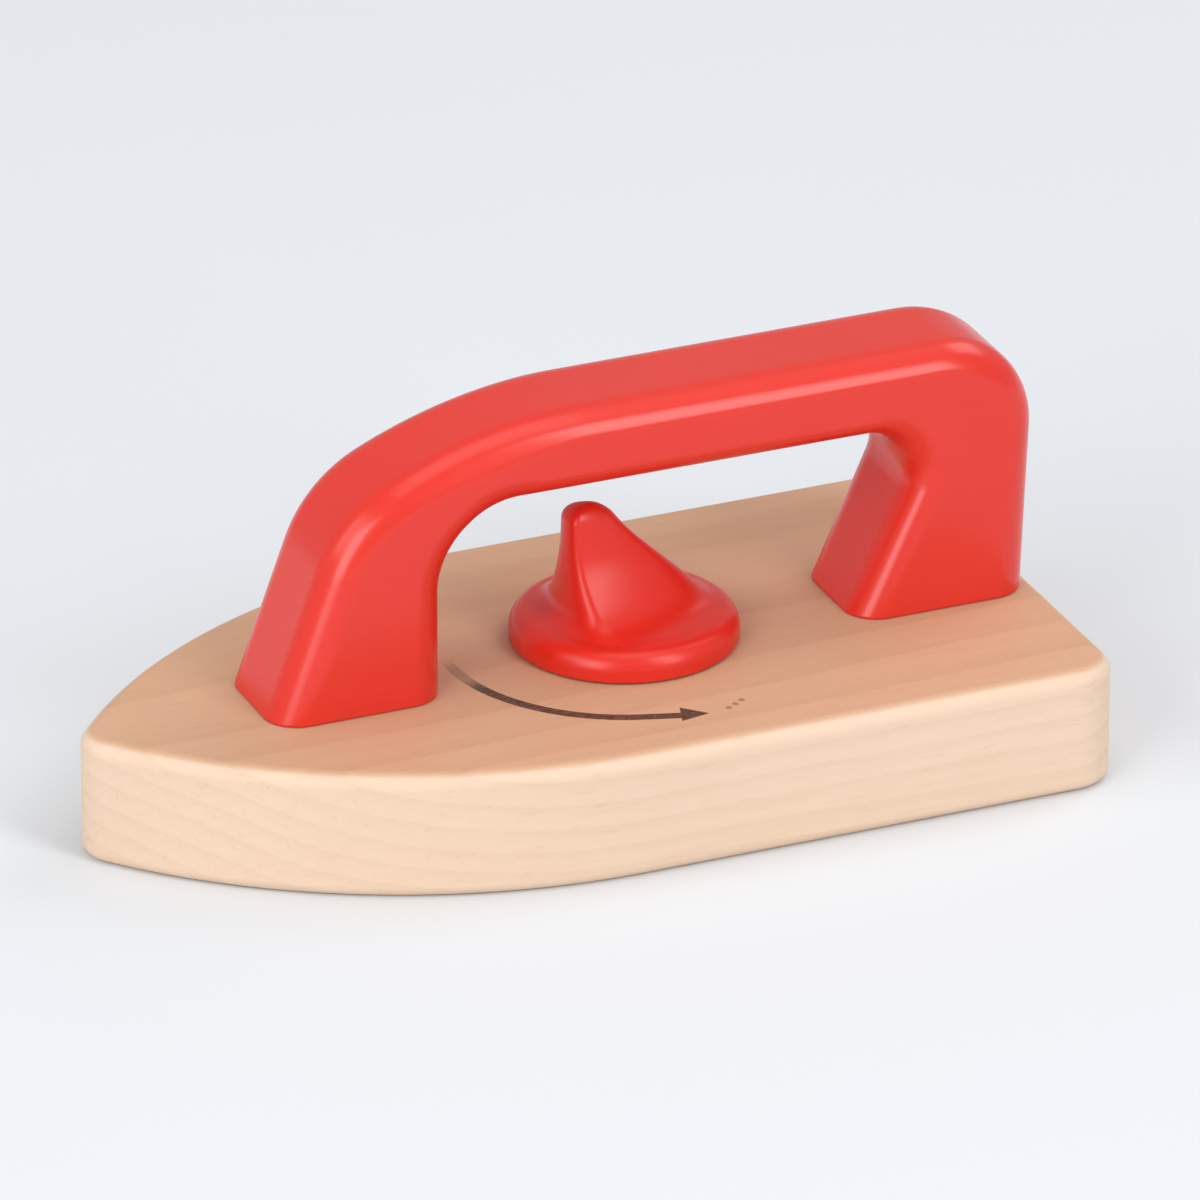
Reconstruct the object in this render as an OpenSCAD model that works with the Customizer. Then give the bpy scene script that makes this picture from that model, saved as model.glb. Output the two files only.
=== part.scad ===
// Toy iron: a solid wooden sole block with a bow handle and a turning,
// clicking dial. Millimetres. The sole lies on z = 0, the nose points to -X,
// the heel to +X, and the iron is symmetric about the XZ plane.

/* [Sole block] */
// Length of the block from nose to heel
sole_len = 152; // [150:0.5:155]
// Width of the block across the straight rear sides
sole_w = 78; // [76:0.5:82]
// Thickness of the block
sole_t = 20; // [19:0.5:22]
// Radius of the nose seen from above
nose_r = 6; // [5:0.5:8]
// Radius of the two heel corners seen from above
heel_r = 7; // [5:0.5:10]
// Where the nose curves run into the straight sides
bow_end = -1.5; // [-6:0.5:4]
// Round-over of the top edge
top_round = 2.5; // [1.5:0.25:3]
// Round-over of the sole edge
sole_round = 2; // [1:0.25:2.5]

/* [Handle] */
// Width of the handle across the iron
handle_w = 21.5; // [20:0.5:23]
// Radius of the handle's rounded edges
handle_edge = 5.5; // [4:0.25:6]
// Height of the grip's top above the block
grip_top = 42.6; // [42:0.1:43.5]
// Height of the grip's underside above the block
grip_under = 29.7; // [29.2:0.1:30.2]
// Toe of the front foot
front_toe = -49.5; // [-50:0.1:-49]
// Inner face of the front post
front_inner = -21.8; // [-22.3:0.1:-21.3]
// Back of the rear foot
rear_back = 73.5; // [73:0.1:73.7]
// Inner edge of the rear foot
rear_inner = 44.6; // [44.1:0.1:45.1]

/* [Dial] */
// Dial axis, measured from the middle of the block
dial_x = 11.1; // [10.7:0.1:11.5]
// Radius of the dial's disc
dial_r = 17.4; // [17.2:0.1:18]
// Gap between the dial and the block
dial_gap = 0.3; // [0.25:0.05:0.5]
// Height of the dial's fin above the block
fin_top = 23.2; // [22:0.1:23.8]
// Diameter of the dial's stem
stem_d = 10; // [9:0.5:10.5]
// Running clearance around the stem, on the radius
stem_play = 0.05; // [0.03:0.01:0.09]
// Clicks in one turn
clicks = 12; // [12]

/* [Fixings] */
// Outer diameter of the wood screws
screw_d = 4; // [3.8:0.1:4.2]
// Diameter of the locating dowels
dowel_d = 6; // [5.5:0.5:6]
// Length of the locating dowels
dowel_len = 24; // [22:1:25]

/* [Hidden] */
$fn = 64;

wood = [0.87, 0.68, 0.53];
plug_wood = [0.82, 0.62, 0.46];
red_paint = [0.93, 0.26, 0.22];
red_plastic = [0.89, 0.20, 0.16];
steel = [0.72, 0.72, 0.74];
nylon = [0.93, 0.92, 0.88];

// ---- plan outline of the block -----------------------------------------
half_w = sole_w / 2;
nose_c = -sole_len / 2 + nose_r;
bow_d = bow_end - nose_c;
bow_r = (bow_d * bow_d + half_w * half_w - nose_r * nose_r) / (2 * (half_w - nose_r));
bow_a = atan2(bow_r - half_w, nose_c - bow_end);

function arc(c, r, a0, a1, n) =
    [for (i = [0:n]) c + r * [cos(a0 + (a1 - a0) * i / n), sin(a0 + (a1 - a0) * i / n)]];

// Points of the far half of the outline, nose to heel, drawn in by d
function half_outline(d) = concat(
    arc([nose_c, 0], nose_r - d, 180, bow_a, 7),
    arc([bow_end, half_w - bow_r], bow_r - d, bow_a, 90, 18),
    arc([sole_len / 2 - heel_r, half_w - heel_r], heel_r - d, 90, 0, 7));

// Without the doubled point where the nose meets the side curve
function clean_half(d) = let (h = half_outline(d))
    [for (i = [0:len(h) - 1]) if (i != 8) h[i]];

function outline(d) = let (h = clean_half(d), n = len(h))
    concat(h, [for (i = [n - 1:-1:1]) [h[i][0], -h[i][1]]]);

function ring_at(d, z) = [for (p = outline(d)) [p[0], p[1], z]];

// ---- a solid through a row of rings with equal numbers of points --------
module loft(rings) {
    m = len(rings);
    n = len(rings[0]);
    pts = [for (r = rings) each r];
    sides = [for (j = [0:m - 2]) for (i = [0:n - 1]) let (k = (i + 1) % n)
        each [[j * n + i, j * n + k, (j + 1) * n + k],
              [j * n + i, (j + 1) * n + k, (j + 1) * n + i]]];
    low = [[for (i = [n - 1:-1:0]) i]];
    high = [[for (i = [0:n - 1]) (m - 1) * n + i]];
    polyhedron(points = pts, faces = concat(sides, low, high), convexity = 8);
}

// ---- places of the fixings ----------------------------------------------
screw_x = [-27.8, 65.2];
dowel_x = [-36.3, 56.7];
screw_bore_r = 5;
screw_seat = 8;
screw_hole_r = 2.2;
screw_len = 35;
screw_head_h = 2.4;
screw_head_r = 3.8;
washer_t = 1;
thread_core = 3;
dowel_low = sole_t - 11.5;
dowel_play = 0.02;
plug_play = 0.02;

// ---- the dial's stack, upwards from the sole ----------------------------
dial_bore_r = 11;
dial_seat = 8;
dial_under = sole_t + dial_gap;
stem_r = stem_d / 2;
stem_end = 7;
glide_t = 0.9;
keeper_t = 1.5;
dial_plug_t = 2.8;
dial_screw_core = 3.2;

// ---- the click: a ball on a spring under the disc ------------------------
ball_r = 2.5;
ball_ring = 13;
ball_x = dial_x + ball_ring;
ball_z = dial_under + 1.3 - ball_r;
ball_bore_r = 2.56;
ball_bore_low = 9.5;
dimple_r = 2.6;
wire_r = 0.25;
coil_r = 2.05;
coil_turns = 6;
coil_low = ball_bore_low + wire_r + 0.02;
coil_high = ball_z - sqrt((ball_r + wire_r) * (ball_r + wire_r) - coil_r * coil_r) - 0.03;

module at_each(xs) { for (x = xs) translate([x, 0, 0]) children(); }

// ---- sole block ----------------------------------------------------------
module sole_body() {
    loft(concat(
        [for (a = [0, 30, 60, 90])
            ring_at(sole_round * (1 - sin(a)), sole_round * (1 - cos(a)))],
        [for (a = [0, 22.5, 45, 67.5, 90])
            ring_at(top_round * (1 - cos(a)), sole_t - top_round * (1 - sin(a)))]));
}

module sole_block() {
    color(wood) difference() {
        sole_body();
        // screw holes, counterbored from below
        at_each(screw_x) {
            translate([0, 0, -1]) cylinder(r = screw_bore_r, h = screw_seat + 1);
            translate([0, 0, screw_seat - 1]) cylinder(r = screw_hole_r, h = sole_t);
        }
        // dowel holes from above
        at_each(dowel_x) translate([0, 0, dowel_low - 0.5])
            cylinder(r = dowel_d / 2 + dowel_play, h = sole_t);
        // dial stem and its counterbore
        translate([dial_x, 0, -1]) cylinder(r = dial_bore_r, h = dial_seat + 1);
        translate([dial_x, 0, 0]) cylinder(r = stem_r + stem_play, h = sole_t + 5);
        // blind hole of the click ball
        translate([ball_x, 0, ball_bore_low]) cylinder(r = ball_bore_r, h = sole_t);
    }
}

// ---- handle --------------------------------------------------------------
// Side view as an outer and an inner path with matching stations, in x and
// height above the block.
lean = 69.6;
toe_run = 24.1;
bend1_r = 22.6;
bend1_end = 27;
rear_r = 15;
rear_lean = 2.4;
inner_bend = 13.3;
hook_r = 7.5;
flare = 25;

// travel along an arc that turns clockwise from heading a0 to heading a1
function turn(p, r, a0, a1, n) = [for (i = [1:n]) let (a = a0 + (a1 - a0) * i / n)
    p + r * [sin(a0) - sin(a), cos(a) - cos(a0)]];
function run(p, q, n) = [for (i = [1:n]) p + (q - p) * i / n];
function last(v) = v[len(v) - 1];

toe = [front_toe, 0];
toe_end = toe + toe_run * [cos(lean), sin(lean)];
bend1 = turn(toe_end, bend1_r, lean, bend1_end, 9);
bend2_r = (grip_top - last(bend1)[1]) / (1 - cos(bend1_end));
bend2 = turn(last(bend1), bend2_r, bend1_end, 0, 7);
rear_lean_run = (grip_top - rear_r) * tan(rear_lean) + rear_r * (1 - cos(rear_lean)) / cos(rear_lean);
rear_top = [rear_back + rear_lean_run - rear_r, grip_top];
rear_bend = turn(rear_top, rear_r, 0, -90 - rear_lean, 14);

outer = concat([toe], run(toe, toe_end, 5), bend1, bend2,
    run(last(bend2), rear_top, 6), rear_bend,
    run(last(rear_bend), [rear_back, 0], 6));

in_foot = [front_inner, 0];
in_rise = [front_inner, grip_under - inner_bend];
in_bend = turn(in_rise, inner_bend, 90, 0, 16);
hook_c = [rear_inner + ((grip_under - hook_r) * sin(flare) - hook_r) / cos(flare), grip_under - hook_r];
hook_start = [hook_c[0], grip_under];
hook = turn(hook_start, hook_r, 0, -90 - flare, 14);

inner = concat([in_foot], run(in_foot, in_rise, 5), in_bend,
    run(last(in_bend), hook_start, 6), hook,
    run(last(hook), [rear_inner, 0], 6));

// One rounded cross-section between an inner point q and an outer point p
function section(p, q) = let (t = norm(p - q), u = (p - q) / t,
        r = handle_edge, h = handle_w / 2)
    [for (c = [[t - r, h - r, 0], [r, h - r, 90], [r, r - h, 180], [t - r, r - h, 270]])
        for (k = [0:5]) let (a = c[2] + 18 * k, s = c[0] + r * cos(a), y = c[1] + r * sin(a))
            [q[0] + u[0] * s, y, sole_t + q[1] + u[1] * s]];

module handle_body() {
    loft([for (i = [0:len(outer) - 1]) section(outer[i], inner[i])]);
}

module handle() {
    color(red_paint) difference() {
        handle_body();
        at_each(dowel_x) translate([0, 0, sole_t - 1])
            cylinder(r = dowel_d / 2 + dowel_play, h = dowel_low + dowel_len + 0.5 - sole_t + 1);
        at_each(screw_x) translate([0, 0, sole_t - 1])
            cylinder(r = thread_core / 2, h = screw_seat - washer_t + screw_len + 1 - sole_t + 1);
    }
}

module handle_dowels() {
    color(plug_wood) at_each(dowel_x) translate([0, 0, dowel_low]) rotate_extrude()
        polygon([[0, 0], [dowel_d / 2 - 0.8, 0], [dowel_d / 2, 0.8],
                 [dowel_d / 2, dowel_len - 0.8], [dowel_d / 2 - 0.8, dowel_len], [0, dowel_len]]);
}

// Pan-head wood screw, head below z = 0 and point up
module wood_screw(d, core, len, head_r, head_h, plain) {
    pitch = 1.8;
    ridges = floor((len - plain - 3) / pitch);
    difference() {
        rotate_extrude() polygon(concat(
            [[0, -head_h], [head_r * 0.6, -head_h], [head_r * 0.9, -head_h * 0.75],
             [head_r, -head_h * 0.35], [head_r, 0], [d / 2, 0], [d / 2, plain], [core / 2, plain + 0.4]],
            [for (i = [0:ridges - 1]) let (z = plain + 0.6 + i * pitch)
                each [[core / 2, z], [d / 2, z + 0.55], [d / 2, z + 0.75], [core / 2, z + 1.3]]],
            [[core / 2, len - 2.4], [0, len]]));
        for (a = [0, 90]) rotate(a) translate([-2, -0.4, -head_h - 1]) cube([4, 0.8, 2.3]);
    }
}

module handle_screws() {
    color(steel) at_each(screw_x) translate([0, 0, screw_seat - washer_t])
        wood_screw(screw_d, thread_core, screw_len, screw_head_r, screw_head_h, sole_t - screw_seat + washer_t + 0.5);
}

module flat_washer(r, hole_r, t) {
    difference() {
        cylinder(r = r, h = t);
        translate([0, 0, -1]) cylinder(r = hole_r, h = t + 2);
    }
}

module handle_screw_washers() {
    color(steel) at_each(screw_x) translate([0, 0, screw_seat - washer_t])
        flat_washer(4.7, 2.2, washer_t);
}

module plug(r, t) {
    rotate_extrude() polygon([[0, 0], [r, 0], [r, t - 0.5], [r - 0.5, t], [0, t]]);
}

module handle_screw_plugs() {
    color(plug_wood) at_each(screw_x)
        plug(screw_bore_r - plug_play, screw_seat - washer_t - screw_head_h - 0.6);
}

// ---- dial ------------------------------------------------------------------
disc_h = 4.9;
disc_round = 3;
dome_h = 1.6;
rim_top = sole_t + disc_h - disc_round;
cap_r = dial_r - 0.1;
crown_r = cap_r - disc_round;
fin_low = 5;
fin_tip = -6.2;
cap_n = 40;

// Shallow dome of the disc
function dome(r) = sole_t + disc_h + dome_h * (1 - r * r / (crown_r * crown_r));

// Fin as level slices: a steep, blunt front, a long sloping back and hollow
// flanks that spread out to the rim. f runs from 0 to 1 upwards.
function root_flare(f) = pow(max(0, 1 - f / 0.1), 2);
function fin_mid(f) = -8.4 + 2.9 * pow(1 - f, 3.5) + 0.9 * root_flare(f);
function fin_back(f) = -2.9 + 16.2 * pow(1 - f, 1.4) + 8 * pow(1 - f, 2) * f + 0.6 * root_flare(f);
function fin_half(f) = 2.7 + 8.2 * pow(1 - f, 2.8) + 2 * root_flare(f);
function fin_front(f) = -9.8 - pow(1 - f, 2) - 1.5 * root_flare(f);
function fin_end(f) = f < 0.86 ? 1 : sqrt(max(0.01, 1 - pow((f - 0.86) / 0.141, 2)));
function fin_plan(f, a) = let (s = fin_end(f), c = cos(a), m = fin_mid(f),
        x = m + (c > 0 ? (fin_back(f) - m) * pow(c, 1.15) : (fin_front(f) - m) * pow(-c, 0.87)))
    [fin_tip + (x - fin_tip) * s, fin_half(f) * s * sin(a)];

function circle_ring(r, z) = [for (i = [0:cap_n - 1]) [r * cos(360 * i / cap_n), -r * sin(360 * i / cap_n), z]];
// Rings that change from the round shoulder to the foot of the fin
function blend_ring(u) = [for (i = [0:cap_n - 1]) let (a = -360 * i / cap_n,
        p = (1 - u) * crown_r * [cos(a), sin(a)] + u * fin_plan(0, a))
    [p[0], p[1], dome(norm(p))]];
function fin_ring(f) = [for (i = [0:cap_n - 1]) let (p = fin_plan(f, -360 * i / cap_n))
    [p[0], p[1], sole_t + fin_low + (fin_top - fin_low) * f]];
fin_levels = [0.02, 0.05, 0.09, 0.14, 0.2, 0.27, 0.35, 0.44, 0.53, 0.62, 0.71, 0.8, 0.86, 0.91, 0.95, 0.98, 1];

module dial_cap() {
    loft(concat([circle_ring(cap_r, rim_top - 0.5), circle_ring(cap_r, rim_top + 0.1)],
        [for (a = [18:18:90]) circle_ring(cap_r - disc_round * (1 - cos(a)), rim_top + disc_round * sin(a))],
        [for (u = [0.5, 1]) blend_ring(u)],
        [for (f = fin_levels) fin_ring(f)]));
}

module dial_knob() {
    color(red_plastic) translate([dial_x, 0, 0]) difference() {
        union() {
            dial_cap();
            // rim of the disc
            rotate_extrude() polygon([[0, dial_under], [dial_r - 0.25, dial_under],
                [dial_r, dial_under + 0.25], [dial_r, rim_top], [0, rim_top]]);
            translate([0, 0, stem_end]) cylinder(r = stem_r, h = dial_under - stem_end + 1);
        }
        // screw hole up the stem
        translate([0, 0, stem_end - 1]) cylinder(r = dial_screw_core / 2, h = 13);
        // ring of dimples for the click ball
        for (i = [0:clicks - 1]) rotate(i * 360 / clicks)
            translate([ball_ring, 0, ball_z]) sphere(r = dimple_r, $fn = 32);
    }
}

module dial_screw() {
    color(steel) translate([dial_x, 0, stem_end - keeper_t])
        wood_screw(screw_d, dial_screw_core, 12, screw_head_r, 2.2, keeper_t + 0.5);
}

module dial_retaining_washer() {
    color(steel) translate([dial_x, 0, stem_end - keeper_t]) flat_washer(9, 2.2, keeper_t);
}

module dial_glide_washer() {
    color(nylon) translate([dial_x, 0, dial_seat - glide_t]) flat_washer(10, stem_r + 0.3, glide_t);
}

module dial_plug() {
    color(plug_wood) translate([dial_x, 0, 0]) plug(dial_bore_r - plug_play, dial_plug_t);
}

module detent_ball() {
    color(steel) translate([ball_x, 0, ball_z]) sphere(r = ball_r);
}

// Coil spring as one tube of round wire, its end turns nearly closed
function coil_z(f) = let (a = 0.16, e = 0.09,
        g = f < a ? e * f / a : f > 1 - a ? 1 - e * (1 - f) / a : e + (1 - 2 * e) * (f - a) / (1 - 2 * a))
    coil_low + (coil_high - coil_low) * g;
module detent_spring() {
    steps = coil_turns * 16;
    color(steel) translate([ball_x, 0, 0]) loft([for (i = [0:steps]) let (f = i / steps, a = 360 * coil_turns * f)
        [for (k = [0:7]) let (b = 45 * k, r = coil_r + wire_r * cos(b))
            [r * cos(a), r * sin(a), coil_z(f) + wire_r * sin(b)]]]);
}

sole_block();
handle();
handle_dowels();
handle_screws();
handle_screw_washers();
handle_screw_plugs();
dial_knob();
dial_screw();
dial_retaining_washer();
dial_glide_washer();
dial_plug();
detent_ball();
detent_spring();
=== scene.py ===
# Looks of the toy iron: smooth block, handle and dial around the fixed frame,
# with their finishes. Shapes are worked out in millimetres in the part's own
# frame (sole on z = 0, nose to -X) and stored in metres.
import math

import bpy
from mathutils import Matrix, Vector
from mathutils.geometry import tessellate_polygon


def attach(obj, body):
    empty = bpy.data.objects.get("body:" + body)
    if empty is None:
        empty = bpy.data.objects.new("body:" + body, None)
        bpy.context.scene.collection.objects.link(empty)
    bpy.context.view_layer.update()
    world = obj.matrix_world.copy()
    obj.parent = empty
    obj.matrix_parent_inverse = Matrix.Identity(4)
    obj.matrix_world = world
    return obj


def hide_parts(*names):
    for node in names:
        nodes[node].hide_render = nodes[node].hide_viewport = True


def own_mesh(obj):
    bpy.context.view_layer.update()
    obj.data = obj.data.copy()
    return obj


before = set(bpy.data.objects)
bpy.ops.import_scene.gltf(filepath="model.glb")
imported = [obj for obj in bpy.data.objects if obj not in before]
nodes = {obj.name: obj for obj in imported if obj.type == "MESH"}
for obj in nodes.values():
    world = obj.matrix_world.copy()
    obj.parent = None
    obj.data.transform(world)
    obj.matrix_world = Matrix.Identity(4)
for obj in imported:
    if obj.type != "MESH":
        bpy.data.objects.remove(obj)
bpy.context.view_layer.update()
scene = bpy.context.scene
MM = 0.001

# sizes of the part, in millimetres
SOLE_LEN, SOLE_W, SOLE_T = 152.0, 78.0, 20.0
NOSE_R, HEEL_R, BOW_END = 6.0, 7.0, -1.5
TOP_ROUND, SOLE_ROUND = 2.5, 2.0
SCREW_X, DOWEL_X, DIAL_X, BALL_X = (-27.8, 65.2), (-36.3, 56.7), 11.1, 24.1


def cosd(a):
    return math.cos(math.radians(a))


def sind(a):
    return math.sin(math.radians(a))


def steps(a, b, n):
    return [a + (b - a) * i / n for i in range(n + 1)]


# ---------------------------------------------------------------- mesh builder
class Solid:
    """A closed mesh made of smooth grids and flat faces, with its own corner normals."""

    def __init__(self):
        self.co, self.faces, self.normals, self.known = [], [], [], {}

    def vert(self, p):
        key = (round(p[0], 5), round(p[1], 5), round(p[2], 5))
        if key not in self.known:
            self.known[key] = len(self.co)
            self.co.append(Vector(p))
        return self.known[key]

    def face(self, pts, normals):
        """One face; the corner normals say which way is out."""
        idx = [self.vert(p) for p in pts]
        keep = [i for i in range(len(idx)) if idx[i] != idx[i - 1]]
        if len(keep) < 3:
            return
        idx, normals = [idx[i] for i in keep], [Vector(normals[i]).normalized() for i in keep]
        flat = Vector()
        for i in range(len(idx)):
            a, b = self.co[idx[i - 1]], self.co[idx[i]]
            flat += a.cross(b)
        if flat.dot(sum(normals, Vector())) < 0:
            idx.reverse()
            normals.reverse()
        self.faces.append(idx)
        self.normals.append(normals)

    def grid(self, rows, closed=True):
        """Quads between rows of (point, normal) pairs."""
        for low, high in zip(rows, rows[1:]):
            n = len(low)
            for i in range(n if closed else n - 1):
                k = (i + 1) % n
                quad = [low[i], low[k], high[k], high[i]]
                self.face([q[0] for q in quad], [q[1] for q in quad])

    def flat(self, loops, z, up):
        """A level face at height z with holes: loops of (x, y), the outer one first."""
        lines = [[Vector((p[0], p[1], 0)) for p in loop] for loop in loops]
        pts = [p for line in lines for p in line]
        n = (0, 0, up)
        for tri in tessellate_polygon(lines):
            self.face([(pts[i].x, pts[i].y, z) for i in tri], [n, n, n])

    def bore(self, x, y, r, z0, z1, n):
        """The wall of a round hole, facing its axis."""
        ring = circle(x, y, r, n)
        self.grid([[((p[0], p[1], z), (x - p[0], y - p[1], 0)) for p in ring] for z in (z0, z1)])

    def fan(self, ring, apex, normal):
        n = len(ring)
        for i in range(n):
            k = (i + 1) % n
            self.face([ring[i][0], ring[k][0], apex], [ring[i][1], ring[k][1], normal])

    def make(self, name, material):
        me = bpy.data.meshes.new(name)
        me.from_pydata([tuple(p * MM) for p in self.co], [], self.faces)
        me.polygons.foreach_set("use_smooth", [True] * len(me.polygons))
        corner = [tuple(n) for f in self.normals for n in f]
        me.normals_split_custom_set(corner)
        me.validate()
        me.materials.append(material)
        ob = bpy.data.objects.new(name, me)
        scene.collection.objects.link(ob)
        return ob


def circle(x, y, r, n, start=0.0):
    return [(x + r * cosd(start + 360 * i / n), y + r * sind(start + 360 * i / n)) for i in range(n)]


# ------------------------------------------------------------- material helper
class Material:
    def __init__(self, name):
        self.mat = bpy.data.materials.new(name)
        self.mat.use_nodes = True
        self.tree = self.mat.node_tree
        self.tree.nodes.clear()
        out = self.tree.nodes.new("ShaderNodeOutputMaterial")
        self.bsdf = self.tree.nodes.new("ShaderNodeBsdfPrincipled")
        self.tree.links.new(self.bsdf.outputs[0], out.inputs[0])
        self.coords = self.tree.nodes.new("ShaderNodeTexCoord")
        self.place = self.coords.outputs["Object"]
        self.facing = self.coords.outputs["Normal"]

    def put(self, socket, value):
        if isinstance(value, bpy.types.NodeSocket):
            self.tree.links.new(value, socket)
        else:
            socket.default_value = value

    def set(self, **values):
        for name, value in values.items():
            if isinstance(value, tuple) and len(value) == 3:
                value = (*value, 1.0)
            self.put(self.bsdf.inputs[name.replace("_", " ")], value)

    def math(self, op, a, b=0.0, c=0.0, clamp=False):
        n = self.tree.nodes.new("ShaderNodeMath")
        n.operation, n.use_clamp = op, clamp
        for s, v in zip(n.inputs, (a, b, c)):
            self.put(s, v)
        return n.outputs[0]

    def vec(self, op, a, b=(0, 0, 0), scale=1.0):
        n = self.tree.nodes.new("ShaderNodeVectorMath")
        n.operation = op
        self.put(n.inputs[0], a)
        self.put(n.inputs[1], b)
        if op == "SCALE":
            self.put(n.inputs["Scale"], scale)
        return n.outputs["Value" if op in ("DISTANCE", "LENGTH", "DOT_PRODUCT") else "Vector"]

    def split(self, v):
        n = self.tree.nodes.new("ShaderNodeSeparateXYZ")
        self.put(n.inputs[0], v)
        return n.outputs

    def join(self, x, y, z):
        n = self.tree.nodes.new("ShaderNodeCombineXYZ")
        for s, v in zip(n.inputs, (x, y, z)):
            self.put(s, v)
        return n.outputs[0]

    def noise(self, v, scale, detail=2.0, rough=0.5, distortion=0.0, colour=False):
        n = self.tree.nodes.new("ShaderNodeTexNoise")
        self.put(n.inputs["Vector"], v)
        n.inputs["Scale"].default_value = scale
        n.inputs["Detail"].default_value = detail
        n.inputs["Roughness"].default_value = rough
        n.inputs["Distortion"].default_value = distortion
        return n.outputs["Color" if colour else "Factor" if "Factor" in n.outputs else "Fac"]

    def remap(self, v, a, b, c=0.0, d=1.0, kind="SMOOTHSTEP"):
        n = self.tree.nodes.new("ShaderNodeMapRange")
        n.interpolation_type = kind
        for s, x in zip(n.inputs, (v, a, b, c, d)):
            self.put(s, x)
        return n.outputs[0]

    def mix(self, f, a, b, kind="MIX"):
        n = self.tree.nodes.new("ShaderNodeMix")
        n.data_type, n.blend_type = "RGBA", kind
        colours = [s for s in n.inputs if s.type == "RGBA"]
        self.put(n.inputs[0], f)
        for s, v in zip(colours, (a, b)):
            self.put(s, (*v, 1.0) if isinstance(v, tuple) and len(v) == 3 else v)
        return next(s for s in n.outputs if s.type == "RGBA")

    def bump(self, height, strength, distance, normal=None):
        n = self.tree.nodes.new("ShaderNodeBump")
        n.inputs["Strength"].default_value = strength
        n.inputs["Distance"].default_value = distance
        self.put(n.inputs["Height"], height)
        if normal is not None:
            self.put(n.inputs["Normal"], normal)
        return n.outputs[0]


def wood_grain(m, along=(1.0, 0.0, 0.0), heart=(0.0, 0.030, -0.105), ring=0.0034, shift=0.0):
    """Grain of a fine, pale hardwood running along X: (tone 0 to 1, fibres, flecks)."""
    x, y, z = m.split(m.place)
    if along[1]:
        x, y = y, x
    if along[2]:
        x, z = z, x
    slow = m.join(m.math("MULTIPLY_ADD", x, 0.16, shift), y, z)
    wander = m.noise(slow, 26.0, 2.0, 0.5, colour=True)
    wander = m.vec("SCALE", m.vec("SUBTRACT", wander, (0.5, 0.5, 0.5)), scale=0.010)
    bent = m.vec("ADD", slow, wander)
    # growth rings round a heart that lies below the block
    bx, by, bz = m.split(bent)
    far = m.vec("LENGTH", m.join(0.0, m.math("SUBTRACT", by, heart[1]), m.math("SUBTRACT", bz, heart[2])))
    turn = m.math("FRACT", m.math("DIVIDE", far, ring))
    late = m.math("POWER", turn, 2.2)
    late = m.math("MULTIPLY", late, m.remap(turn, 1.0, 0.90))
    # long fibres, and short flecks between them
    fibre_at = m.join(m.math("MULTIPLY", bx, 0.55), by, bz)
    fibres = m.noise(fibre_at, 900.0, 3.0, 0.62)
    fleck_at = m.join(m.math("MULTIPLY", x, 0.11), by, bz)
    flecks = m.remap(m.noise(fleck_at, 1500.0, 1.0, 0.5), 0.63, 0.74)
    broad = m.noise(slow, 34.0, 2.0, 0.5)
    tone = m.math("MULTIPLY_ADD", late, -0.34, 0.62)
    tone = m.math("ADD", tone, m.math("MULTIPLY_ADD", broad, 0.60, -0.30))
    tone = m.math("ADD", tone, m.math("MULTIPLY_ADD", fibres, 0.56, -0.28), clamp=True)
    return tone, fibres, flecks


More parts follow.
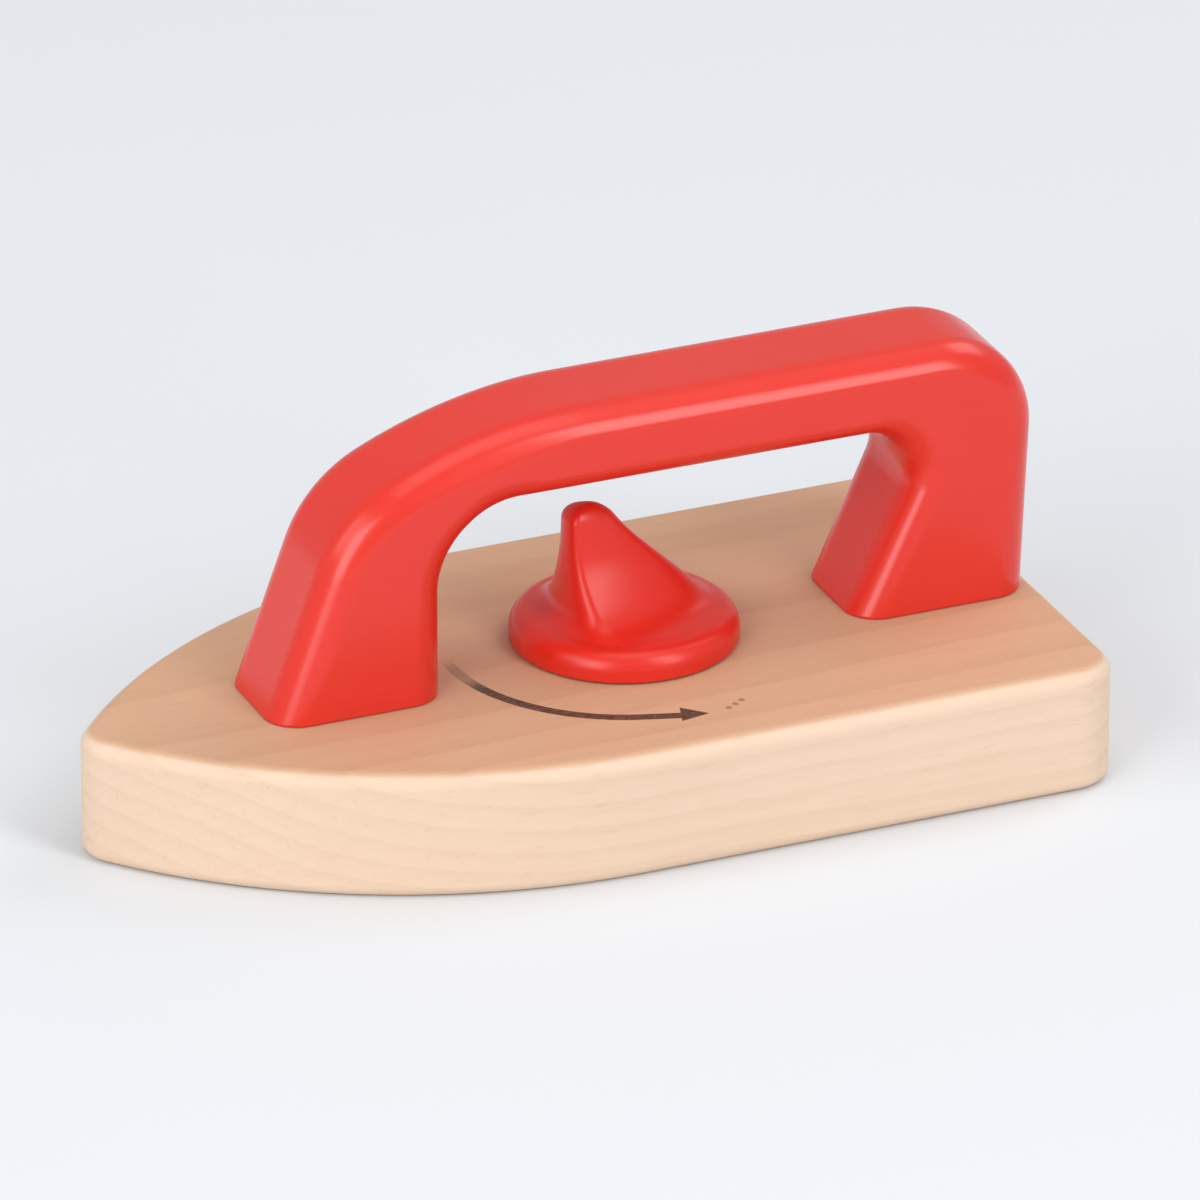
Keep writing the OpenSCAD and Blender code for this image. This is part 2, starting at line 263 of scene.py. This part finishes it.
def block_wood():
    m = Material("sole_wood")
    tone, fibres, flecks = wood_grain(m)
    # painted shade: the top face is coloured darker and more orange than the sides, picked by which way each
    # surface faces, standing in for light that fell more on the sides than on the top of the same wood
    up = m.remap(m.split(m.facing)[2], 0.70, 0.98)
    side = m.mix(tone, (0.690, 0.492, 0.350), (0.792, 0.600, 0.455))
    top = m.mix(tone, (0.536, 0.301, 0.176), (0.678, 0.414, 0.262))
    colour = m.mix(up, side, top)
    colour = m.mix(m.math("MULTIPLY", flecks, 0.10), colour, (0.430, 0.225, 0.120))
    # printed line round the near side of the dial that runs out straight into an
    # arrowhead, and three dots past it; angles are counted from the front left
    x, y, z = m.split(m.place)
    dx, dy = m.math("SUBTRACT", x, DIAL_X * MM), y
    ca, sa = cosd(-135), sind(-135)
    u = m.math("ADD", m.math("MULTIPLY", dx, ca), m.math("MULTIPLY", dy, sa))
    v = m.math("SUBTRACT", m.math("MULTIPLY", dy, ca), m.math("MULTIPLY", dx, sa))
    angle = m.math("MULTIPLY", m.math("ARCTAN2", v, u), 180 / math.pi)
    reach = m.math("SQRT", m.math("ADD", m.math("MULTIPLY", dx, dx), m.math("MULTIPLY", dy, dy)))
    bend = 27.0
    cb, sb = cosd(bend), sind(bend)
    out = m.math("ADD", m.math("MULTIPLY", u, cb), m.math("MULTIPLY", v, sb))
    ahead = m.math("SUBTRACT", m.math("MULTIPLY", v, cb), m.math("MULTIPLY", u, sb))
    straight = m.math("GREATER_THAN", ahead, 0.0)
    off = m.math("ADD", m.math("MULTIPLY", out, straight),
                 m.math("MULTIPLY", reach, m.math("SUBTRACT", 1.0, straight)))
    off = m.math("SUBTRACT", off, 28.1 * MM)
    is_head = m.math("MULTIPLY", straight, m.math("GREATER_THAN", ahead, 5.9 * MM))
    head = m.remap(ahead, 5.9 * MM, 10.2 * MM, 2.3 * MM, 0.0, "LINEAR")
    half = m.math("ADD", m.math("MULTIPLY", m.math("SUBTRACT", 1.0, is_head), 0.92 * MM), m.math("MULTIPLY", head, is_head))
    off = m.math("ABSOLUTE", m.math("MULTIPLY_ADD", is_head, 0.40 * MM, off))
    inside = m.remap(m.math("SUBTRACT", half, off), -0.06 * MM, 0.06 * MM)
    inside = m.math("MULTIPLY", inside, m.remap(angle, -52.0, -42.0))
    inside = m.math("MULTIPLY", inside, m.math("LESS_THAN", ahead, 10.2 * MM))
    print_ = m.math("MULTIPLY", inside, m.remap(angle, -37.0, -26.0, 0.38, 0.97))
    for at in ((15.6, -28.9), (17.0, -28.1), (18.4, -27.2)):
        dot = m.remap(m.vec("DISTANCE", m.place, (at[0] * MM, at[1] * MM, SOLE_T * MM)), 0.58 * MM, 0.46 * MM)
        print_ = m.math("MAXIMUM", print_, m.math("MULTIPLY", dot, 0.50))
    worn = m.remap(m.noise(m.join(m.math("MULTIPLY", x, 0.3), y, z), 2600.0, 2.0, 0.6), 0.30, 0.62, 0.80, 1.0)
    on_top = m.math("GREATER_THAN", z, 19.9 * MM)
    print_ = m.math("MULTIPLY", m.math("MULTIPLY", print_, worn), on_top)
    colour = m.mix(print_, colour, (0.058, 0.022, 0.012))
    rough = m.math("MULTIPLY_ADD", fibres, 0.22, 0.42)
    grooves = m.math("SUBTRACT", fibres, m.math("MULTIPLY", flecks, 0.3))
    m.set(Base_Color=colour, Roughness=rough, Specular_IOR_Level=0.30, Normal=m.bump(grooves, 0.12, 0.00010))
    return m.mat


def plug_wood(name, shift, along):
    m = Material(name)
    tone, fibres, flecks = wood_grain(m, along=along, ring=0.0026, shift=shift)
    colour = m.mix(tone, (0.560, 0.350, 0.215), (0.740, 0.520, 0.360))
    colour = m.mix(m.math("MULTIPLY", flecks, 0.22), colour, (0.380, 0.200, 0.105))
    m.set(Base_Color=colour, Roughness=m.math("MULTIPLY_ADD", fibres, 0.2, 0.46), Specular_IOR_Level=0.36,
          Normal=m.bump(fibres, 0.18, 0.00012))
    return m.mat


def red_lacquer():
    m = Material("red_lacquer")
    x, y, z = m.split(m.place)
    broad = m.noise(m.place, 38.0, 2.0, 0.5)
    under = m.noise(m.join(m.math("MULTIPLY", x, 0.12), y, z), 700.0, 2.0, 0.55)
    colour = m.mix(m.math("MULTIPLY_ADD", under, 0.35, m.math("MULTIPLY", broad, 0.65)),
                   (0.664, 0.024, 0.013), (0.728, 0.033, 0.018))
    peel = m.noise(m.place, 620.0, 1.0, 0.4)
    rough = m.math("MULTIPLY_ADD", broad, 0.08, 0.20)
    height = m.math("ADD", m.math("MULTIPLY", peel, 0.6), m.math("MULTIPLY", under, 0.4))
    m.set(Base_Color=colour, Roughness=rough, Specular_IOR_Level=0.5, Normal=m.bump(height, 0.04, 0.00008))
    return m.mat


def red_plastic():
    m = Material("red_plastic")
    broad = m.noise(m.place, 60.0, 2.0, 0.5)
    fine = m.noise(m.place, 1500.0, 2.0, 0.6)
    colour = m.mix(broad, (0.665, 0.019, 0.010), (0.735, 0.027, 0.014))
    rough = m.math("MULTIPLY_ADD", fine, 0.06, m.math("MULTIPLY_ADD", broad, 0.06, 0.25))
    m.set(Base_Color=colour, Roughness=rough, Specular_IOR_Level=0.42, Normal=m.bump(fine, 0.03, 0.00006))
    return m.mat


def steel():
    m = Material("steel")
    turned = m.noise(m.vec("MULTIPLY", m.place, (300.0, 300.0, 4000.0)), 1.0, 2.0, 0.6)
    spots = m.noise(m.place, 260.0, 3.0, 0.6)
    colour = m.mix(spots, (0.480, 0.490, 0.510), (0.640, 0.645, 0.655))
    m.set(Base_Color=colour, Metallic=1.0, Roughness=m.math("MULTIPLY_ADD", turned, 0.18, 0.22),
          Normal=m.bump(turned, 0.08, 0.00004))
    return m.mat


def nylon():
    m = Material("nylon")
    cloud = m.noise(m.place, 300.0, 3.0, 0.6)
    colour = m.mix(cloud, (0.720, 0.700, 0.640), (0.800, 0.790, 0.750))
    m.set(Base_Color=colour, Roughness=m.math("MULTIPLY_ADD", cloud, 0.16, 0.40),
          Normal=m.bump(cloud, 0.05, 0.00005))
    return m.mat


# ------------------------------------------------------------------ sole block
def outline(d):
    """Plan of the block drawn in by d: points with their outward directions."""
    hw = SOLE_W / 2
    nose_c = -SOLE_LEN / 2 + NOSE_R
    bow_d = BOW_END - nose_c
    bow_r = (bow_d ** 2 + hw ** 2 - NOSE_R ** 2) / (2 * (hw - NOSE_R))
    bow_a = math.degrees(math.atan2(bow_r - hw, nose_c - BOW_END))
    half = []
    for (cx, cy), r, a0, a1, n in (
        ((nose_c, 0.0), NOSE_R, 180.0, bow_a, 20),
        ((BOW_END, hw - bow_r), bow_r, bow_a, 90.0, 64),
        ((SOLE_LEN / 2 - HEEL_R, hw - HEEL_R), HEEL_R, 90.0, 0.0, 18),
    ):
        arc = [(cx + (r - d) * cosd(a), cy + (r - d) * sind(a), cosd(a), sind(a)) for a in steps(a0, a1, n)]
        half += arc[1:] if half and math.dist(arc[0][:2], half[-1][:2]) < 1e-6 else arc
    return half + [(x, -y, nx, -ny) for x, y, nx, ny in reversed(half[1:])]


def make_block(material):
    s = Solid()
    rows = []
    for a in steps(0, 90, 8):
        d, z = SOLE_ROUND * (1 - sind(a)), SOLE_ROUND * (1 - cosd(a))
        rows.append([((x, y, z), (nx * sind(a), ny * sind(a), -cosd(a))) for x, y, nx, ny in outline(d)])
    for a in steps(0, 90, 10):
        d, z = TOP_ROUND * (1 - cosd(a)), SOLE_T - TOP_ROUND * (1 - sind(a))
        rows.append([((x, y, z), (nx * cosd(a), ny * cosd(a), sind(a))) for x, y, nx, ny in outline(d)])
    s.grid(rows)
    low = [[q[0][:2] for q in rows[0]]]
    high = [[q[0][:2] for q in rows[-1]]]
    for x in SCREW_X:
        wide, thin = circle(x, 0, 5.0, 40), circle(x, 0, 2.2, 24)
        low.append(wide)
        high.append(thin)
        s.bore(x, 0, 5.0, 0, 8, 40)
        s.flat([wide, thin], 8, -1)
        s.bore(x, 0, 2.2, 8, SOLE_T, 24)
    for x in DOWEL_X:
        ring = circle(x, 0, 3.02, 32)
        high.append(ring)
        s.bore(x, 0, 3.02, 8.0, SOLE_T, 32)
        s.flat([ring], 8.0, 1)
    wide, stem = circle(DIAL_X, 0, 11.0, 64), circle(DIAL_X, 0, 5.05, 48)
    low.append(wide)
    high.append(stem)
    s.bore(DIAL_X, 0, 11.0, 0, 8, 64)
    s.flat([wide, stem], 8, -1)
    s.bore(DIAL_X, 0, 5.05, 8, SOLE_T, 48)
    ring = circle(BALL_X, 0, 2.56, 32)
    high.append(ring)
    s.bore(BALL_X, 0, 2.56, 9.5, SOLE_T, 32)
    s.flat([ring], 9.5, 1)
    s.flat(low, 0, -1)
    s.flat(high, SOLE_T, 1)
    return s.make("sole_block_wood", material)


# ---------------------------------------------------------------------- handle
HANDLE_W, HANDLE_EDGE = 21.5, 5.5
GRIP_TOP, GRIP_UNDER = 42.6, 29.7
FRONT_TOE, FRONT_INNER, REAR_BACK, REAR_INNER = -49.5, -21.8, 73.5, 44.6


def turn(p, r, a0, a1, n):
    return [(p[0] + r * (sind(a0) - sind(a)), p[1] + r * (cosd(a) - cosd(a0))) for a in steps(a0, a1, n)[1:]]


def run(p, q, n):
    return [(p[0] + (q[0] - p[0]) * i / n, p[1] + (q[1] - p[1]) * i / n) for i in range(1, n + 1)]


def handle_paths():
    """Side view: outer and inner path with matching stations, in x and height above the block."""
    lean, toe_run, bend1_r, bend1_end = 69.6, 24.1, 22.6, 27.0
    rear_r, rear_lean, inner_bend, hook_r, flare = 15.0, 2.4, 13.3, 7.5, 25.0
    toe = (FRONT_TOE, 0.0)
    toe_end = (toe[0] + toe_run * cosd(lean), toe_run * sind(lean))
    bend1 = turn(toe_end, bend1_r, lean, bend1_end, 27)
    bend2_r = (GRIP_TOP - bend1[-1][1]) / (1 - cosd(bend1_end))
    bend2 = turn(bend1[-1], bend2_r, bend1_end, 0, 21)
    lean_run = (GRIP_TOP - rear_r) * math.tan(math.radians(rear_lean)) + rear_r * (1 - cosd(rear_lean)) / cosd(rear_lean)
    rear_top = (REAR_BACK + lean_run - rear_r, GRIP_TOP)
    rear_bend = turn(rear_top, rear_r, 0, -90 - rear_lean, 42)
    outer = [toe] + run(toe, toe_end, 15) + bend1 + bend2 + run(bend2[-1], rear_top, 18) + rear_bend
    outer += run(rear_bend[-1], (REAR_BACK, 0.0), 18)
    foot = (FRONT_INNER, 0.0)
    rise = (FRONT_INNER, GRIP_UNDER - inner_bend)
    bend = turn(rise, inner_bend, 90, 0, 48)
    hook_x = REAR_INNER + ((GRIP_UNDER - hook_r) * sind(flare) - hook_r) / cosd(flare)
    start = (hook_x, GRIP_UNDER)
    hook = turn(start, hook_r, 0, -90 - flare, 42)
    inner = [foot] + run(foot, rise, 15) + bend + run(bend[-1], start, 18) + hook
    inner += run(hook[-1], (REAR_INNER, 0.0), 18)
    return outer, inner


def section(p, q, d=0.0):
    """Rounded cross-section between inner point q and outer point p, drawn in by d: (point, tangent) pairs."""
    t = math.dist(p, q)
    ux, uz = (p[0] - q[0]) / t, (p[1] - q[1]) / t
    r, h = HANDLE_EDGE, HANDLE_W / 2
    ring = []
    for s0, y0, a0 in ((t - r, h - r, 0), (r, h - r, 90), (r, r - h, 180), (t - r, r - h, 270)):
        for a in steps(a0, a0 + 90, 12):
            s, y = s0 + (r - d) * cosd(a), y0 + (r - d) * sind(a)
            ring.append((Vector((q[0] + ux * s, y, SOLE_T + q[1] + uz * s)), Vector((-ux * sind(a), cosd(a), -uz * sind(a)))))
    return ring


def make_handle(material):
    outer, inner = handle_paths()
    rings = [section(p, q) for p, q in zip(outer, inner)]
    m = len(rings)
    rows = []
    for i, ring in enumerate(rings):
        before, after = rings[max(i - 1, 0)], rings[min(i + 1, m - 1)]
        middle = sum((p for p, _ in ring), Vector()) / len(ring)
        row = []
        for k, (p, side) in enumerate(ring):
            n = side.cross(after[k][0] - before[k][0])
            if n.dot(p - middle) < 0:
                n = -n
            row.append((p, n.normalized()))
        rows.append(row)
    # the feet's lower edges are broken with a small round
    soft = 0.5

    def foot(i, j):
        (po, pi), (no, ni) = (outer[i], inner[i]), (outer[j], inner[j])
        made = []
        for a in steps(0, 90, 5):
            d, h = soft * (1 - sind(a)), soft * (1 - cosd(a))
            p = (po[0] + (no[0] - po[0]) * h / no[1], h)
            q = (pi[0] + (ni[0] - pi[0]) * h / ni[1], h)
            wall = rows[i]
            made.append([(c, Vector(n) * sind(a) + Vector((0, 0, -cosd(a)))) for (c, _), (_, n) in zip(section(p, q, d), wall)])
        return made

    front, rear = foot(0, 1), foot(m - 1, m - 2)
    s = Solid()
    s.grid(front + rows[1:-1] + rear[::-1])
    for row, dowel, screw in ((front[0], DOWEL_X[0], SCREW_X[0]), (rear[0], DOWEL_X[1], SCREW_X[1])):
        wide, thin = circle(dowel, 0, 3.02, 32), circle(screw, 0, 1.5, 24)
        s.flat([[tuple(c[:2]) for c, _ in row], wide, thin], SOLE_T, -1)
        s.bore(dowel, 0, 3.02, SOLE_T, 33.0, 32)
        s.flat([wide], 33.0, -1)
        s.bore(screw, 0, 1.5, SOLE_T, 43.0, 24)
        s.flat([thin], 43.0, -1)
    return s.make("handle_lacquered", material)


# ------------------------------------------------------------------------ dial
DIAL_R, DIAL_UNDER, DISC_H, DISC_ROUND = 17.4, 20.3, 4.9, 3.0
FIN_LOW, FIN_TOP, FIN_TIP = 5.0, 23.2, -6.2
STEM_R, STEM_END = 5.0, 7.0
AROUND = 144


def fin_plan(f, a, s=1.0):
    """Level slice of the fin: blunt front, long back, flanks that spread to the rim; f is 0 below, 1 on top."""
    g, root = max(0.0, 1 - f), max(0.0, 1 - f / 0.1) ** 2
    mid = -8.4 + 2.9 * g ** 3.5 + 0.9 * root
    back = -2.9 + 16.2 * g ** 1.4 + 8 * g ** 2 * (1 - g) + 0.6 * root
    front = -9.8 - g ** 2 - 1.5 * root
    half = 2.7 + 8.2 * g ** 2.8 + 2.0 * root
    c = cosd(a)
    x = mid + ((back - mid) * c ** 1.15 if c > 0 else (front - mid) * (-c) ** 0.87)
    return FIN_TIP + (x - FIN_TIP) * s, half * s * sind(a)


def even(line, n):
    """n + 1 points at equal distances along a line of points."""
    run_ = [0.0]
    for p, q in zip(line, line[1:]):
        run_.append(run_[-1] + (q - p).length)
    made, k = [], 0
    for i in range(n + 1):
        want = run_[-1] * i / n
        while k < len(line) - 2 and run_[k + 1] < want:
            k += 1
        made.append(line[k].lerp(line[k + 1], (want - run_[k]) / max(run_[k + 1] - run_[k], 1e-9)))
    return made


def make_dial(material):
    crown, rim_top = DIAL_R - DISC_ROUND, SOLE_T + DISC_H - DISC_ROUND

    def dome(r):
        return SOLE_T + DISC_H + 1.6 * (1 - r * r / (crown * crown))

    def level(f):
        return SOLE_T + FIN_LOW + (FIN_TOP - FIN_LOW) * f

    angles = [360 * i / AROUND for i in range(AROUND)]
    cap = []
    for a in steps(0, 76, 12):
        r, z = DIAL_R - DISC_ROUND * (1 - cosd(a)), rim_top + DISC_ROUND * sind(a)
        cap.append([Vector((r * cosd(b), r * sind(b), z)) for b in angles])
    # ribs from the shoulder over the disc and up the fin, evened out and softened at the root
    ribs = []
    for i, b in enumerate(angles):
        line = [cap[-1][i]]
        fx, fy = fin_plan(0, b)
        for u in steps(0, 1, 8)[1:]:
            x, y = (1 - u) * crown * cosd(b) + u * fx, (1 - u) * crown * sind(b) + u * fy
            line.append(Vector((x, y, dome(math.hypot(x, y)))))
        for k in range(1, 49):
            f = 0.86 * (k / 48) ** 1.5
            line.append(Vector((*fin_plan(f, b), level(f))))
        line = even(line, 64)
        for _ in range(22):
            line = [line[0]] + [(p + 2 * q + r) / 4 for p, q, r in zip(line, line[1:], line[2:])] + [line[-1]]
        ribs.append(line)
    for k in range(1, 65):
        cap.append([rib[k] for rib in ribs])
    for b in steps(0, 84, 12)[1:]:
        f = 0.86 + 0.14 * sind(b)
        cap.append([Vector((*fin_plan(f, a, cosd(b)), level(f))) for a in angles])
    rows = []
    m = len(cap)
    for i, ring in enumerate(cap):
        row = []
        for k, p in enumerate(ring):
            along = ring[(k + 1) % AROUND] - ring[k - 1]
            across = cap[min(i + 1, m - 1)][k] - cap[max(i - 1, 0)][k]
            n = along.cross(across).normalized()
            if i == 0:
                n = Vector((cosd(angles[k]), sind(angles[k]), 0))
            row.append((p, n))
        rows.append(row)
    s = Solid()
    wall = []
    for a in steps(0, 90, 5):
        r, z = DIAL_R - 0.25 * (1 - sind(a)), DIAL_UNDER + 0.25 * (1 - cosd(a))
        wall.append([(Vector((r * cosd(b), r * sind(b), z)), Vector((cosd(b) * sind(a), sind(b) * sind(a), -cosd(a)))) for b in angles])
    s.grid(wall + rows)
    peak = sum((p for p, _ in rows[-1]), Vector()) / AROUND
    peak.z = SOLE_T + FIN_TOP
    s.fan(rows[-1], peak, Vector((0, 0, 1)))
    # underside: a ring of twelve dimples, the stem and its screw hole
    ball_z, dimple, ring_r = 19.1, 2.6, 13.0
    open_a = math.degrees(math.acos((DIAL_UNDER - ball_z) / dimple))
    loops = [[tuple(c[:2]) for c, _ in wall[0]], circle(0, 0, STEM_R, 48)]
    for i in range(12):
        cx, cy = ring_r * cosd(30 * i), ring_r * sind(30 * i)
        bowl = []
        for t in steps(open_a, 0, 6)[:-1]:
            ring = circle(cx, cy, dimple * sind(t), 24)
            z = ball_z + dimple * cosd(t)
            bowl.append([(Vector((x, y, z)), Vector((cx - x, cy - y, ball_z - z))) for x, y in ring])
        s.grid(bowl)
        s.fan(bowl[-1], Vector((cx, cy, ball_z + dimple)), Vector((0, 0, -1)))
        loops.append([tuple(c[:2]) for c, _ in bowl[0]])
    s.flat(loops, DIAL_UNDER, -1)
    stem = circle(0, 0, STEM_R, 48)
    s.grid([[(Vector((x, y, z)), Vector((x, y, 0))) for x, y in stem] for z in (STEM_END, DIAL_UNDER)])
    hole = circle(0, 0, 1.6, 24)
    s.flat([stem, hole], STEM_END, -1)
    s.bore(0, 0, 1.6, STEM_END, 19.0, 24)
    s.flat([hole], 19.0, -1)
    for p in s.co:
        p.x += DIAL_X
    return s.make("dial_moulded", material)


# ---------------------------------------------------------------------- spring
COIL_FOOT, COIL_R, WIRE_R, COIL_TURNS = 9.5, 2.05, 0.25, 6
COIL_LOW, COIL_HIGH = 9.77, 17.237


def make_spring(material):
    """Coil of round wire under the ball, its end turns nearly closed."""
    def height(f):
        a, e = 0.16, 0.09
        if f < a:
            g = e * f / a
        elif f > 1 - a:
            g = 1 - e * (1 - f) / a
        else:
            g = e + (1 - 2 * e) * (f - a) / (1 - 2 * a)
        return COIL_LOW + (COIL_HIGH - COIL_LOW) * g

    rows = []
    for f in steps(0, 1, COIL_TURNS * 28):
        a, row = 360 * COIL_TURNS * f, []
        for k in range(12):
            b = 30 * k
            n = Vector((cosd(b) * cosd(a), cosd(b) * sind(a), sind(b)))
            row.append((Vector((BALL_X + COIL_R * cosd(a), COIL_R * sind(a), height(f))) + n * WIRE_R, n))
        rows.append(row)
    s = Solid()
    s.grid(rows)
    for row, way in ((rows[0], -1), (rows[-1], 1)):
        s.fan(row, sum((p for p, _ in row), Vector()) / 12, Vector((0, way, 0)))
    return s.make("detent_spring_coil", material)


# ---------------------------------------------------------------------- pieces
wood, lacquer, plastic = block_wood(), red_lacquer(), red_plastic()
metal, white_nylon = steel(), nylon()

block = make_block(wood)
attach(block, "iron")
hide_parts("sole_block")

handle = make_handle(lacquer)
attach(handle, "iron")
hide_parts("handle")

dial = make_dial(plastic)
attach(dial, "dial")
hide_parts("dial_knob")

spring = make_spring(metal)
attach(spring, "iron")
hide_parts("detent_spring")
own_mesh(spring)

finish = {
    "handle_dowels": plug_wood("dowel_wood", 0.31, (0.0, 0.0, 1.0)),
    "handle_screw_plugs": plug_wood("plug_wood", 0.57, (0.0, 1.0, 0.0)),
    "dial_plug": plug_wood("dial_plug_wood", 0.83, (0.0, 1.0, 0.0)),
    "handle_screws": metal,
    "handle_screw_washers": metal,
    "dial_screw": metal,
    "dial_retaining_washer": metal,
    "detent_ball": metal,
    "detent_spring": metal,
    "dial_glide_washer": white_nylon,
}
for name, material in finish.items():
    ob = nodes[name]
    ob.data.materials.clear()
    ob.data.materials.append(material)

# ---------------------------------------------------------------------- studio
floor_mat = Material("studio_floor")
cloud = floor_mat.noise(floor_mat.place, 3.0, 2.0, 0.5)
floor_mat.set(Base_Color=floor_mat.mix(cloud, (0.715, 0.738, 0.768), (0.735, 0.755, 0.780)), Roughness=0.75,
              Specular_IOR_Level=0.2)
fm = bpy.data.meshes.new("studio_floor")
half = 6.0
fm.from_pydata([(-half, -half, 0), (half, -half, 0), (half, half, 0), (-half, half, 0)], [], [(0, 1, 2, 3)])
fm.materials.append(floor_mat.mat)
floor = bpy.data.objects.new("studio_floor", fm)
scene.collection.objects.link(floor)

world = bpy.data.worlds.new("studio")
scene.world = world
world.use_nodes = True
sky = world.node_tree.nodes["Background"]
sky.inputs["Color"].default_value = (0.97, 0.985, 1.0, 1.0)
sky.inputs["Strength"].default_value = 0.50


def softbox(name, azimuth, elevation, distance, width, height, radiance):
    """A soft light that looks at the iron; azimuth 0 is straight in front, to the right is plus."""
    data = bpy.data.lights.new(name, "AREA")
    data.shape, data.size, data.size_y = "RECTANGLE", width, height
    data.energy = radiance * math.pi * width * height
    ob = bpy.data.objects.new(name, data)
    scene.collection.objects.link(ob)
    away = Vector((sind(azimuth) * cosd(elevation), -cosd(azimuth) * cosd(elevation), sind(elevation)))
    ob.location = Vector((0, 0, 0.03)) + away * distance
    ob.rotation_mode = "QUATERNION"
    ob.rotation_quaternion = away.to_track_quat("Z", "Y")
    return ob


softbox("key_left", -54, 20, 1.6, 0.68, 1.10, 4.4)
softbox("fill_right", 26, 34, 1.6, 0.50, 1.30, 5.0)
softbox("top_soft", 0, 88, 1.9, 1.3, 1.3, 1.3)
softbox("back_left", -88, 34, 1.8, 1.1, 0.9, 1.8)
softbox("back_right", 108, 44, 1.8, 1.0, 0.8, 2.3)

cam_data = bpy.data.cameras.new("camera")
cam_data.lens, cam_data.sensor_width = 385.0, 36.0
cam_data.clip_start, cam_data.clip_end = 0.05, 60.0
cam = bpy.data.objects.new("camera", cam_data)
scene.collection.objects.link(cam)
back = Vector((-0.3553, -0.8294, 0.4310)).normalized()
aim = Vector((0.0060, -0.0027, 0.0280))
cam.location = aim + back * 1.92
cam.rotation_mode = "QUATERNION"
cam.rotation_quaternion = back.to_track_quat("Z", "Y")
scene.camera = cam

scene.view_settings.view_transform = "Standard"
scene.view_settings.look = "None"
